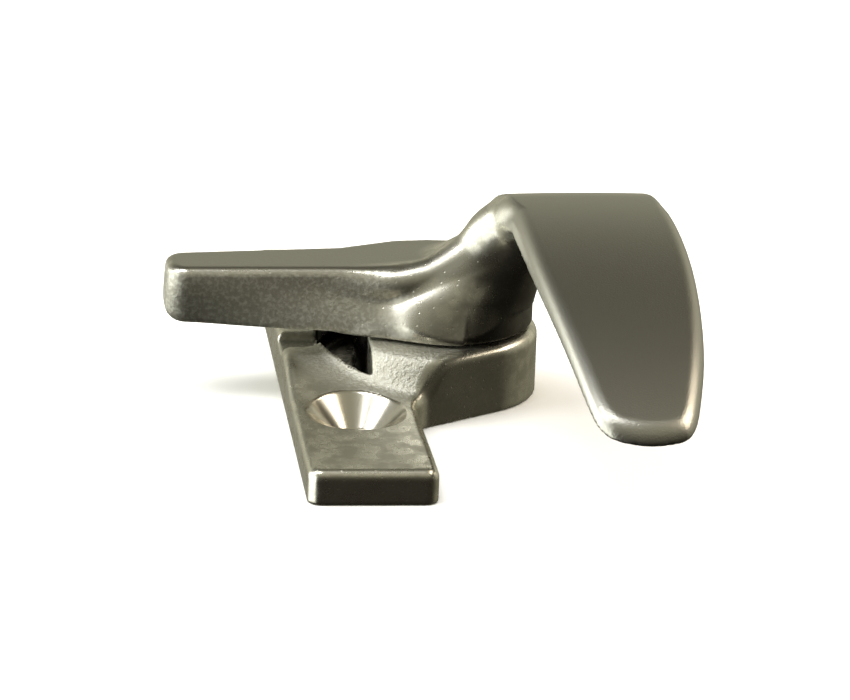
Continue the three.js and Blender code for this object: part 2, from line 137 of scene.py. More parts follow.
def polygon_plan(x: Array, y: Array, corners: Array) -> Array:
    """Distance in plan to a closed polygon.

    Formula: the least distance to any edge, negative where the edges wind round the point.

    Args:
        x: points along X.
        y: points along Y.
        corners: the polygon's corners, one row each.

    Returns:
        The signed distance.
    """
    nearest = np.full(x.shape, np.inf)
    sign = np.ones(x.shape)
    for (ax, ay), (bx, by) in zip(corners, np.roll(corners, -1, axis=0)):
        ex, ey = bx - ax, by - ay
        wx, wy = x - ax, y - ay
        along = np.clip((wx * ex + wy * ey) / (ex * ex + ey * ey), 0.0, 1.0)
        nearest = np.minimum(nearest, (wx - ex * along) ** 2 + (wy - ey * along) ** 2)
        above, below = y >= ay, y < by
        turns = ex * wy > ey * wx
        flips = (above & below & turns) | (~above & ~below & ~turns)
        sign = np.where(flips, -sign, sign)
    return sign * np.sqrt(nearest)


def smooth_step(value: Array, low: float, high: float) -> Array:
    """Zero at low, one at high, and an S-shaped cubic between them."""
    t = np.clip((value - low) / (high - low), 0.0, 1.0)
    return t * t * (3.0 - 2.0 * t)


def spline(knots: Array, at: Array) -> Array:
    """A smooth curve through knots, by the Catmull-Rom formula.

    Args:
        knots: one row per knot: the position along the curve, then any number of values.
        at: positions to read the curve at.

    Returns:
        One row of values for each position.
    """
    where, values = knots[:, 0], knots[:, 1:]
    at = np.clip(at, where[0], where[-1])
    slopes = np.gradient(values, where, axis=0)
    i = np.clip(np.searchsorted(where, at, side="right") - 1, 0, len(where) - 2)
    span = where[i + 1] - where[i]
    t = ((at - where[i]) / span)[..., None]
    span = span[..., None]
    start, end = values[i], values[i + 1]
    return (
        start * (2 * t**3 - 3 * t**2 + 1)
        + slopes[i] * span * (t**3 - 2 * t**2 + t)
        + end * (3 * t**2 - 2 * t**3)
        + slopes[i + 1] * span * (t**3 - t**2)
    )


# ---- meshes -------------------------------------------------------------------------------------
@dataclass
class Surface:
    """A mesh in the making: points in millimetres, quads or triangles, and values at the points."""

    points: Array
    faces: list[Array]
    values: dict[str, Array] = field(default_factory=dict)

    def to_object(self, name: str) -> bpy.types.Object:
        """Puts the surface into a smooth-shaded object at the origin.

        Args:
            name: the piece's name.

        Returns:
            The new object.
        """
        mesh = bpy.data.meshes.new(name)
        corners = np.concatenate([f.ravel() for f in self.faces])
        sizes = np.concatenate([np.full(len(f), f.shape[1]) for f in self.faces])
        mesh.vertices.add(len(self.points))
        mesh.vertices.foreach_set("co", (self.points * MM).astype(np.float32).ravel())
        mesh.loops.add(len(corners))
        mesh.loops.foreach_set("vertex_index", corners.astype(np.int32))
        mesh.polygons.add(len(sizes))
        mesh.polygons.foreach_set("loop_start", (np.cumsum(sizes) - sizes).astype(np.int32))
        mesh.polygons.foreach_set("use_smooth", np.ones(len(sizes), bool))
        for key, value in self.values.items():
            layer = mesh.attributes.new(key, "FLOAT", "POINT")
            layer.data.foreach_set("value", value.astype(np.float32))
        mesh.update(calc_edges=True)
        mesh.validate()
        made = bpy.data.objects.new(name, mesh)
        bpy.context.scene.collection.objects.link(made)
        return made


@dataclass
class Lattice:
    """A regular grid of sample points that turns a distance into a mesh."""

    low: Array
    high: Array
    step: float

    COARSE = 4

    def _axes(self) -> list[Array]:
        """Sample positions along each axis, a whole number of coarse steps long."""
        counts = np.ceil((self.high - self.low) / (self.step * self.COARSE)).astype(int)
        return [lo + self.step * np.arange(n * self.COARSE) for lo, n in zip(self.low, counts)]

    def _sample(self, distance: Distance) -> Array:
        """Reads the distance near the surface finely, and elsewhere only coarsely."""
        axes = self._axes()
        middle = (self.COARSE - 1) / 2 * self.step
        rough_axes = [axis[:: self.COARSE] + middle for axis in axes]
        rough = np.stack(np.meshgrid(*rough_axes, indexing="ij"), -1).reshape(-1, 3)
        coarse = distance(rough).reshape([len(axis) for axis in rough_axes])
        for axis in range(3):
            coarse = np.repeat(coarse, self.COARSE, axis=axis)
        near = np.abs(coarse) < self.COARSE * self.step * 1.6
        fine = coarse.copy()
        index = np.argwhere(near)
        fine[near] = distance(self.low + index * self.step)
        return fine

    def mesh(self, distance: Distance) -> tuple[Array, Array]:
        """Finds the closed surface where the distance is zero.

        Formula: each lattice cell that the surface crosses gets one point, the mean of the places
        where it crosses the cell's edges. Each lattice edge that is crossed joins its four cells'
        points in a quad. The points then step along the slope to where the distance is zero.

        Args:
            distance: the signed distance to the solid.

        Returns:
            The points and the quads.
        """
        values = self._sample(distance)
        inside = values < 0
        shape = np.array(values.shape)
        cells = shape - 1
        total = np.zeros((*cells, 3))
        crossings = np.zeros(cells)
        crossed_edges = []
        for axis in range(3):
            ahead = np.roll(np.arange(3), -axis)[1:]
            head = [slice(None)] * 3
            tail = [slice(None)] * 3
            head[axis], tail[axis] = slice(1, None), slice(None, -1)
            near, far = values[tuple(tail)], values[tuple(head)]
            crossed = inside[tuple(tail)] != inside[tuple(head)]
            share = np.where(crossed, near / np.where(crossed, near - far, 1.0), 0.0)
            crossed_edges.append(crossed)
            for first in (0, 1):
                for second in (0, 1):
                    pick = [slice(None)] * 3
                    for side, offset in zip(ahead, (first, second)):
                        pick[side] = slice(offset, offset + cells[side])
                    hit = crossed[tuple(pick)]
                    place = np.zeros((*cells, 3))
                    place[..., axis] = share[tuple(pick)]
                    place[..., ahead[0]] = first
                    place[..., ahead[1]] = second
                    total += place * hit[..., None]
                    crossings += hit
        used = crossings > 0
        number = np.full(cells, -1)
        number[used] = np.arange(used.sum())
        points = np.argwhere(used) + total[used] / crossings[used][:, None]
        points = self.low + points * self.step
        quads = []
        for axis in range(3):
            b, c = np.roll(np.arange(3), -axis)[1:]
            edge = np.argwhere(crossed_edges[axis])
            edge = edge[(edge[:, b] > 0) & (edge[:, c] > 0)]
            edge = edge[(edge[:, b] < cells[b]) & (edge[:, c] < cells[c])]
            step_b, step_c = np.eye(3, dtype=int)[b], np.eye(3, dtype=int)[c]
            ring = [edge - step_b - step_c, edge - step_c, edge, edge - step_b]
            quad = np.stack([number[tuple(cell.T)] for cell in ring], -1)
            leaving = inside[tuple(edge.T)]
            quads.append(np.where(leaving[:, None], quad, quad[:, ::-1]))
        return self._settle(distance, points), np.concatenate(quads)

    def _settle(self, distance: Distance, points: Array) -> Array:
        """Moves points onto the zero surface, never more than a step from where they were."""
        start = points.copy()
        for _ in range(4):
            slope = gradient(distance, points)
            steep = np.maximum((slope**2).sum(1), 0.05)
            points = points - slope * (distance(points) / steep)[:, None]
            points = start + np.clip(points - start, -self.step, self.step)
        return points


def gradient(distance: Distance, points: Array) -> Array:
    """The distance's slope at each point, by central differences of a twentieth of a millimetre."""
    reach = 0.05
    slopes = [
        (distance(points + offset) - distance(points - offset)) / (2 * reach)
        for offset in np.eye(3) * reach
    ]
    return np.stack(slopes, -1)


def facing(distance: Distance, points: Array) -> Array:
    """The surface's outward unit direction at each point."""
    slope = gradient(distance, points)
    return slope / np.maximum(np.linalg.norm(slope, axis=1), 1e-9)[:, None]


def lattice_step() -> float:
    """The castings' lattice step in millimetres."""
    return 0.3


# ---- the backplate ------------------------------------------------------------------------------
def frame_mm(node: str) -> tuple[Array, Array]:
    """A node's lowest and highest corners in millimetres."""
    low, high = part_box(node)
    return np.array(low) / MM, np.array(high) / MM


def pivot_mm() -> float:
    """Where the pivot axis stands along X, from the frame's joint."""
    return frame["record"]["behaviour"]["joints"][0]["pos_m"][0] / MM


@dataclass
class Backplate:
    """The cast screw strip with the lobe and boss that carry the pivot."""

    half_width: float
    front_reach: float
    rear_reach: float
    boss_top: float
    pivot_x: float
    strip_thickness: float = 4.5
    corner: float = 1.8
    flare: float = 0.5
    strip_edge: float = 1.15
    lobe_edge: float = 1.4
    swell: float = 1.7
    lobe_radius: float = 12.0
    lobe_angle: float = math.radians(31)
    inner_corner: float = 2.0
    skirt_middle: float = 16.1
    skirt_steepness: float = 0.62
    screw_y: float = 22.0
    sink_radius: float = 6.5
    hole_radius: float = 2.9
    stop_wall_x: float = 2.85
    recess_inner: float = 11.6
    recess_outer: float = 16.6
    recess_floor: float = 2.4
    mouth_half: float = 2.7
    mouth_floor: float = 5.0
    chamber_radius: float = 8.6
    chamber_depth: float = 4.2
    seat_radius: float = 4.95
    flange_radius: float = 6.35
    flange_floor: float = 8.3
    slot_orbit: float = 8.3
    slot_half: float = 1.5
    slot_floor: float = 6.4
    bottom_edge: float = 0.25
    recess_edge: float = 0.3
    bore_edge: float = 0.1
    sink_edge: float = 0.12

    @classmethod
    def from_frame(cls) -> "Backplate":
        """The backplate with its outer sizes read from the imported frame."""
        low, high = frame_mm("backplate")
        return cls(
            half_width=-low[0],
            front_reach=-low[1],
            rear_reach=high[1],
            boss_top=high[2],
            pivot_x=pivot_mm(),
        )

    def plan(self, x: Array, y: Array) -> Array:
        """Distance in plan: the strip, filleted to a lobe with two straight walls.

        Formula: beside the lobe's walls the distance is to the wall's line, and round its end it is
        to the circle that both walls touch.
        """
        spread = self.flare * smooth_step(np.abs(y), 18.0, self.front_reach) * (x > 0)
        middle = (self.rear_reach - self.front_reach) / 2
        half_length = (self.rear_reach + self.front_reach) / 2
        strip = box_plan(x, y - middle, self.half_width + spread, half_length, self.corner)
        u, v = x - self.pivot_x, np.abs(y)
        normal = (math.sin(self.lobe_angle), math.cos(self.lobe_angle))
        past_touch = u * normal[1] - v * normal[0] > 0
        to_middle = np.where(past_touch, np.hypot(u, v), u * normal[0] + v * normal[1])
        lobe = np.maximum(to_middle - self.lobe_radius, -x)
        return join(strip, lobe, self.inner_corner)

    def top(self, x: Array, y: Array) -> Array:
        """Height of the casting's upper face before anything is cut into it.

        Formula: the strip's thickness, plus a swelling under the spur that fades with the distance
        from the middle, under a skirt that falls from the boss in a logistic step.
        """
        swell = self.swell * smooth_step(-np.abs(y), -19.0, -5.0)
        low = self.strip_thickness + swell * smooth_step(-x, -14.0, 4.0)
        from_pivot = np.hypot(x - self.pivot_x, y)
        rise = 1.0 / (1.0 + np.exp((from_pivot - self.skirt_middle) / self.skirt_steepness))
        return low + (self.boss_top - low) * rise

    def distance(self, p: Array) -> Array:
        """Distance to the finished casting."""
        x, y, z = p.T
        u = x - self.pivot_x
        reach = 0.15
        top = self.top(x, y)
        slope = np.hypot(
            (self.top(x + reach, y) - top) / reach, (self.top(x, y + reach) - top) / reach
        )
        upper = (z - top) / np.sqrt(1.0 + slope**2)
        edge = self.strip_edge + (self.lobe_edge - self.strip_edge) * smooth_step(x, 4.0, 12.0)
        solid = meet(self.plan(x, y), upper, edge)
        solid = meet(solid, -z, self.bottom_edge)
        solid = cut(solid, self.recess(x, y, z), self.recess_edge)
        from_axis = np.hypot(u, y)
        bores = (
            (self.chamber_radius, FAR_BELOW, self.chamber_depth),
            (self.seat_radius, FAR_BELOW, FAR_ABOVE),
            (self.flange_radius, self.flange_floor, FAR_ABOVE),
        )
        for radius, low, high in bores:
            bore = np.maximum(from_axis - radius, np.maximum(low - z, z - high))
            solid = cut(solid, bore, self.bore_edge)
        solid = cut(solid, self.slot(u, y, z), self.bore_edge)
        return cut(solid, self.screw_holes(x, y, z), self.sink_edge)

    def recess(self, x: Array, y: Array, z: Array) -> Array:
        """The hollow under the spur: a band round the boss, with a mouth in the strip's edge."""
        from_pivot = np.hypot(x - self.pivot_x, y)
        middle = (self.recess_inner + self.recess_outer) / 2
        band = np.abs(from_pivot - middle) - (self.recess_outer - self.recess_inner) / 2
        band = meet(band, x - self.stop_wall_x, 0.25)
        band = meet(band, self.recess_floor - z, 0.8)
        mouth = meet(np.abs(y) - self.mouth_half, x - (self.pivot_x - middle), 0.2)
        mouth = meet(mouth, self.mouth_floor - z, 0.4)
        return np.minimum(band, mouth)

    def slot(self, u: Array, y: Array, z: Array) -> Array:
        """The stop pin's slot: a quarter ring on the boss's outer side, with round ends."""
        bearing = np.abs(np.arctan2(y, u))
        reach = math.radians(46)
        end_x, end_y = self.slot_orbit * math.cos(reach), self.slot_orbit * math.sin(reach)
        along = np.abs(np.hypot(u, y) - self.slot_orbit)
        past = np.hypot(u - end_x, np.abs(y) - end_y)
        plan = np.where(bearing < reach, along, past) - self.slot_half
        return np.maximum(plan, self.slot_floor - z)

    def screw_holes(self, x: Array, y: Array, z: Array) -> Array:
        """Both holes: a straight bore that opens into a right-angled countersink."""
        from_hole = np.hypot(x, np.abs(y) - self.screw_y)
        cone = (from_hole - self.sink_radius - (z - self.strip_thickness)) / math.sqrt(2)
        return np.minimum(from_hole - self.hole_radius, cone)

    def surface(self) -> Surface:
        """The casting's mesh, with where it is machined, rough, or darkened by painted shade.

        Returns:
            The surface, with the values machined, cast_skin and painted_shade at its points.
        """
        margin = 1.0
        low = np.array([-self.half_width, -self.front_reach, 0.0]) - margin
        high = np.array([self.pivot_x + self.lobe_radius, self.rear_reach, self.boss_top]) + margin
        points, quads = Lattice(low, high, lattice_step()).mesh(self.distance)
        x, y, z = points.T
        up = facing(self.distance, points)[:, 2]
        machined = smooth_step(-np.abs(self.screw_holes(x, y, z)), -0.22, -0.05)
        from_pivot = np.hypot(x - self.pivot_x, y)
        bored = smooth_step(-from_pivot, -8.8, -8.6) * smooth_step(-z, -8.8, -8.6)
        skirt = smooth_step(-from_pivot, -24.0, -18.5)
        inward = smooth_step(-self.plan(x, y), 0.9, 1.9)
        level = smooth_step(z, 3.4, 4.6) * smooth_step(up, 0.05, 0.3)
        walls = smooth_step(-np.abs(self.recess(x, y, z)), -0.3, -0.1)
        at_ledge = smooth_step(z, 4.7, 4.9) * smooth_step(-z, -5.6, -5.3)
        ledge = walls * at_ledge * smooth_step(up, 0.5, 0.8)
        sunk = np.maximum(smooth_step(-z, -4.7, -4.1), smooth_step(-from_pivot, -12.4, -12.0))
        return Surface(
            points,
            [quads],
            {
                "machined": np.maximum(machined, bored),
                "cast_skin": np.maximum(skirt * inward * level, ledge) * (1 - machined),
                # painted shade: near black on the recess walls and floor, low down and by the boss,
                # in the spur's shadow
                "painted_shade": walls * sunk,
            },
        )


# ---- the lever ----------------------------------------------------------------------------------
@dataclass
class Lever:
    """The cast spur, hub, neck and grip. Its own X and Y start at the pivot axis."""

    pivot_x: float
    reach: float
    grip_reach: float
    bottom: float
    top: float
    hub_radius: float = 11.3
    spur_top: float = 17.5
    spur_corner: float = 3.0
    spur_edge: float = 1.1
    spur_barrel: float = 0.02
    spur_waist: float = 12.5
    tip_rounding: float = 3.0
    grip_top_y: float = -8.0
    grip_fall: float = 0.0045
    grip_bend: float = 9.0
    grip_root_thickness: float = 3.5
    grip_tip_thickness: float = 1.9
    grip_crown: float = 0.15
    grip_upper_edge: float = 1.9
    grip_lower_edge: float = 0.4
    grip_fillet: float = 2.4
    neck_edge: float = 3.0
    fold_edge: float = 0.8
    spindle_radius: float = 4.05
    spindle_top: float = 15.3
    oval_power: float = 2.3
    neck_wall_slope: float = 0.85
    hub_wall_top: float = 12.5
    flank_top: float = 16.6
    flank_top_edge: float = 1.5
    lean_height: float = 6.5
    tip_edge: float = 1.0
    body_fillet: float = 0.8
    bottom_edge: float = 0.6
    bore_edge: float = 0.1

    # height, centre along X and Y, half size along X and Y
    NECK = np.array(
        [
            [9.3, 0.0, -0.3, 11.3, 11.3], [11.4, 0.3, -0.3, 10.9, 10.5],
            [14.2, 1.6, -0.6, 10.1, 9.0], [17.5, 4.8, -1.0, 8.0, 7.3], [20.6, 8.4, -1.9, 6.9, 6.4],
            [23.8, 11.4, -3.4, 8.0, 6.4], [26.4, 14.3, -5.2, 9.2, 5.9],
            [28.8, 15.8, -6.4, 9.5, 5.2],
        ]
    )

    # the ridge that climbs from the spur's front edge into the neck: place and radius
    RIDGE = np.array(
        [
            [-17.0, -3.3, 15.2, 1.0], [-9.4, -4.0, 15.2, 2.1], [-5.2, -4.1, 15.3, 2.8],
            [-1.25, -3.8, 16.2, 3.2], [3.2, -3.7, 19.1, 3.5], [5.7, -3.8, 21.9, 3.8],
            [7.4, -4.0, 24.0, 3.4],
        ]
    )

    # the fold where the spur's side turns onto the hub's flank: its foot, and the outward
    # directions of the flank and of the face to the left of the fold
    FOLD_FOOT = np.array([-12.6, -7.0, 10.3])
    FLANK = np.array([-0.238, -0.817, 0.525])
    CHEEK = np.array([-0.448, -0.544, 0.710])

    # the spur's outline, from the front of its root round the tip to the back of the hub
    SPUR = np.array(
        [
            [4.0, -5.2], [-37.0, -5.2], [-37.0, 3.0], [-14.0, 5.1], [-6.5, 8.0], [-2.0, 8.4],
            [4.0, 8.0],
        ]
    )

    # how far its foot stands out in front of that, and the place along it
    FOOT = np.array([[-37.0, -1.4], [-25.0, 0.2], [-12.6, 2.3], [-7.0, 3.6], [4.0, 3.6]])

    # the grip's outline, down its inner side, round the tip and up its outer side
    GRIP = np.array(
        [
            [7.6, 1.6], [6.6, -4.0], [6.7, -14.0], [7.4, -26.0], [8.5, -36.0], [10.1, -47.0],
            [11.6, -55.5], [12.9, -58.6], [15.0, -60.0], [18.5, -60.6], [22.4, -60.0],
            [24.2, -58.2], [25.4, -54.0], [26.8, -46.0], [27.6, -36.0], [27.8, -25.0],
            [27.2, -13.0], [26.0, -7.5], [24.0, -3.4], [21.6, -0.6], [18.2, 1.2],
        ]
    )

    @classmethod
    def from_frame(cls) -> "Lever":
        """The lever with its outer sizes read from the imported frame."""
        low, high = frame_mm("lever_casting")
        return cls(
            pivot_x=pivot_mm(),
            reach=pivot_mm() - low[0],
            grip_reach=-low[1],
            bottom=low[2],
            top=high[2],
        )

    @staticmethod
    def refined(rows: Array, steps: int) -> Array:
        """Rows of values as a smooth run of that many times more rows."""
        along = np.arange(len(rows), dtype=float)
        return spline(np.column_stack([along, rows]), np.linspace(0, along[-1], steps * len(rows)))

    def back(self, y: Array) -> Array:
        """Height of the grip's back.

        Formula: a parabola from its highest place to the tip, and a circle's arc the other way,
        down into the neck.
        """
        past = y - self.grip_top_y
        towards_tip = self.grip_fall * np.minimum(past, 0.0) ** 2
        bent = np.clip(past, 0.0, self.grip_bend * 0.87)
        towards_root = self.grip_bend - np.sqrt(self.grip_bend**2 - bent**2)
        return self.top - towards_tip - towards_root

    def above(self, x: Array, y: Array, z: Array) -> Array:
        """Distance above the grip's back and its carried-on surface, with a faint crown."""
        past = y - self.grip_top_y
        slope = np.where(past < 0, -2 * self.grip_fall * past, np.clip(past, 0, 7) / self.grip_bend)
        crown = self.grip_crown * ((x - 17.3) / 10.0) ** 2
        return (z - self.back(y) + crown) / np.sqrt(1.0 + slope**2)

    def grip(self, x: Array, y: Array, z: Array, outline: Array) -> Array:
        """Distance to the grip: a thin arched leaf with a faint crown and rounded edges."""
        plan = polygon_plan(x, y, outline)
        above = self.above(x, y, z)
        share = smooth_step(-y, -self.grip_top_y, self.grip_reach)
        thickness = self.grip_root_thickness + share * (
            self.grip_tip_thickness - self.grip_root_thickness
        )
        leaf = meet(plan, above, self.grip_upper_edge)
        return meet(leaf, -above - thickness, self.grip_lower_edge)

    def neck(self, x: Array, y: Array, z: Array) -> Array:
        """Distance to the hub and neck: level ovals whose centre leans out to the grip.

        Formula: how far a point is outside its level's oval, as a share of the oval, times the
        oval's lesser half size.
        """
        cx, cy, half_x, half_y = spline(self.NECK, z).T
        along_x = np.abs((x - cx) / half_x) ** self.oval_power
        along_y = np.abs((y - cy) / half_y) ** self.oval_power
        share = (along_x + along_y) ** (1 / self.oval_power)
        wall = (share - 1.0) * np.minimum(half_x, half_y)
        round_hub = np.where(z > self.hub_wall_top, -np.inf, np.hypot(x, y) - self.hub_radius)
        wall = np.maximum(wall, round_hub)
        return meet(wall * self.neck_wall_slope, z - self.back(y), self.neck_edge)

    def ridge(self, x: Array, y: Array, z: Array) -> Array:
        """Distance to the ridge: a round bar that thickens along a bent line."""
        nearest = np.full(x.shape, np.inf)
        p = np.stack([x, y, z], -1)
        for start, end in zip(self._ridge[:-1], self._ridge[1:]):
            way = end[:3] - start[:3]
            along = np.clip((p - start[:3]) @ way / (way @ way), 0.0, 1.0)
            radius = start[3] + along * (end[3] - start[3])
            away = np.linalg.norm(p - start[:3] - along[:, None] * way, axis=1)
            nearest = np.minimum(nearest, away - radius)
        return nearest

    def flank(self, x: Array, y: Array, z: Array) -> Array:
        """Distance to the wedge of metal behind the fold, between its flank and its cheek."""
        p = np.stack([x, y, z], -1) - self.FOLD_FOOT
        wedge = meet(p @ self.FLANK, p @ self.CHEEK, self.fold_edge)
        wedge = meet(wedge, z - self.flank_top, self.flank_top_edge)
        return np.maximum(wedge, np.maximum(x - 1.0, y + 4.0))

    def spur(self, x: Array, y: Array, z: Array) -> Array:
        """Distance to the spur: a tapered bar with a flat top and a tip rounded off below.

        Formula: its outline draws in with the square of the height above or below its waist, and
        its front side leans out to its foot.
        """
        foot = np.interp(x, self.FOOT[:, 0], self.FOOT[:, 1])
        lean = foot * (1.0 - smooth_step(z, self.bottom, self.bottom + self.lean_height))
        front = 1.0 - smooth_step(y, -4.0, 0.0)
        plan = polygon_plan(x, y + lean * front, self._spur_core()) - self.spur_corner
        ends = np.hypot(
            np.maximum(-self.reach + self.tip_rounding - x, 0.0),
            np.maximum(self.bottom + self.tip_rounding - z, 0.0),
        )
        tip = ends - self.tip_rounding
        plan = plan + self.spur_barrel * (z - self.spur_waist) ** 2
        bar = meet(plan, z - self.spur_top, self.spur_edge)
        lower_edge = 2.0 - 1.3 * smooth_step(x, -self.reach + 2.0, -self.reach + 14.0)
        bar = meet(bar, self.bottom - z, lower_edge)
        return meet(bar, tip, self.tip_edge)

    def _spur_core(self) -> Array:
        """The spur's outline shrunk by its corner radius, so that growing it rounds the corners."""
        inward = np.roll(self.SPUR, -1, axis=0) - self.SPUR
        normal = np.column_stack([inward[:, 1], -inward[:, 0]])
        normal /= np.linalg.norm(normal, axis=1)[:, None]
        before = np.roll(normal, 1, axis=0)
        lean = normal + before
        lean *= (2.0 / (lean**2).sum(1))[:, None]
        return self.SPUR + lean * self.spur_corner

    def distance(self, p: Array) -> Array:
        """Distance to the finished casting."""
        x, y, z = p.T
        x = x - self.pivot_x
        body = self.neck(x, y, z)
        for part in (self.spur, self.ridge, self.flank):
            body = join(body, part(x, y, z), self.body_fillet)
        body = join(body, self.grip(x, y, z, self._outline), self.grip_fillet)
        body = np.maximum(body, self.above(x, y, z))
        body = meet(body, self.bottom - z, self.bottom_edge)
        bore = np.maximum(np.hypot(x, y) - self.spindle_radius, z - self.spindle_top)
        return cut(body, bore, self.bore_edge)

    def __post_init__(self) -> None:
        """Works the smooth outlines out once."""
        self._outline = self.refined(self.GRIP, 3)
        self._ridge = self.refined(self.RIDGE, 5)

    def surface(self) -> Surface:
        """The casting's mesh, with where it is linished, rough, or darkened by painted shade.

        Returns:
            The surface, with the values linished, cast_skin and painted_shade at its points.
        """
        margin = 1.0
        low = np.array([self.pivot_x - self.reach, -self.grip_reach, self.bottom]) - margin
        high = np.array([self.pivot_x + 27.8, self.hub_radius, self.top]) + margin
        points, quads = Lattice(low, high, lattice_step()).mesh(self.distance)
        x, y, z = points.T
        x = x - self.pivot_x
        up = facing(self.distance, points)[:, 2]
        on_spur = smooth_step(-np.abs(z - self.spur_top), -0.3, -0.1) * smooth_step(up, 0.88, 0.97)
        above = self.above(x, y, z)
        on_back = smooth_step(-np.abs(above), -0.4, -0.15) * smooth_step(-y, 0.0, 3.0)
        on_sides = smooth_step(above, -5.5, -4.5) * smooth_step(-y, 9.0, 12.0)
        on_grip = np.maximum(on_back, on_sides * smooth_step(up, -0.45, -0.2)) * (x > 5)
        linished = np.maximum(on_spur, on_grip)
        under = smooth_step(-up, 0.3, 0.6)
        sides = 0.75 * smooth_step(-x, 5.0, 11.0) * smooth_step(-np.abs(up), -0.7, -0.4)
        # painted shade mask: the hub and neck right of the pivot, below the grip, on faces that
        # don't look up
        beside_hub = smooth_step(x, -4.0, 3.0) * smooth_step(-z, -24.0, -14.0)
        shadowed = beside_hub * smooth_step(-up, -0.5, -0.2)
        return Surface(
            points,
            [quads],
            {
                "linished": linished,
                "cast_skin": np.maximum(under, sides),
                # painted shade on that flank, left off the linished faces
                "painted_shade": 0.8 * shadowed * (1 - linished),
            },
        )


# ---- turned parts on the pivot axis -------------------------------------------------------------
def eased(corners: Sequence[tuple[float, float]], radius: float, closed: bool) -> Array:
    """A profile whose corners are rounded, with a support point on each side of every arc.

    Args:
        corners: radius and height of each corner.
        radius: radius of the rounded corners.
        closed: whether the profile closes on itself; an open one keeps its two end points.

    Returns:
        The rounded profile's points.
    """
    given = np.array(corners, float)
    rows = []
    for i, corner in enumerate(given):
        if not closed and i in (0, len(given) - 1):
            rows.append(corner[None])
            continue
        before = given[i - 1] - corner
        after = given[(i + 1) % len(given)] - corner
        reach = min(np.linalg.norm(before), np.linalg.norm(after))
        before, after = before / np.linalg.norm(before), after / np.linalg.norm(after)
        half = math.acos(np.clip(before @ after, -1, 1)) / 2
        back = min(radius / math.tan(half), 0.4 * reach)
        t = np.linspace(0, 1, 6)[:, None]
        start, end = corner + before * back, corner + after * back
        arc = start * (1 - t) ** 2 + 2 * corner * t * (1 - t) + end * t**2
        rows.append(np.vstack([start + before * back * 0.15, arc, end + after * back * 0.15]))
    return np.vstack(rows)


def turned(profile: Array, pivot_x: float, closed: bool, steps: int = 96) -> Surface:
    """A profile carried round the pivot axis.

    Formula: each profile point sweeps a circle of its own radius at its own height.

    Args:
        profile: radius and height, up the outside; an open profile starts and ends on the axis.
        pivot_x: where the axis stands along X.
        closed: whether the profile closes on itself.
        steps: points round the axis.

    Returns:
        The surface.
    """
    angle = np.linspace(0, 2 * math.pi, steps, endpoint=False)
    rings = profile if closed else profile[1:-1]
    r, z = rings[:, 0][:, None], rings[:, 1][:, None]
    grid = np.stack([pivot_x + r * np.cos(angle), r * np.sin(angle), z + 0 * angle], -1)
    number = np.arange(grid.shape[0] * steps).reshape(-1, steps)
    upper = np.roll(number, -1, axis=0) if closed else number[1:]
    lower = number if closed else number[:-1]
    quads = np.stack([lower, np.roll(lower, -1, 1), np.roll(upper, -1, 1), upper], -1)
    points, faces = grid.reshape(-1, 3), [quads.reshape(-1, 4)]
    if not closed:
        ends = np.array([[pivot_x, 0, profile[0, 1]], [pivot_x, 0, profile[-1, 1]]])
        first = len(points)
        points = np.vstack([points, ends])
        under, over = number[0], number[-1]
        faces.append(np.stack([np.roll(under, -1), under, np.full(steps, first)], -1))
        faces.append(np.stack([over, np.roll(over, -1), np.full(steps, first + 1)], -1))
    return Surface(points, faces)


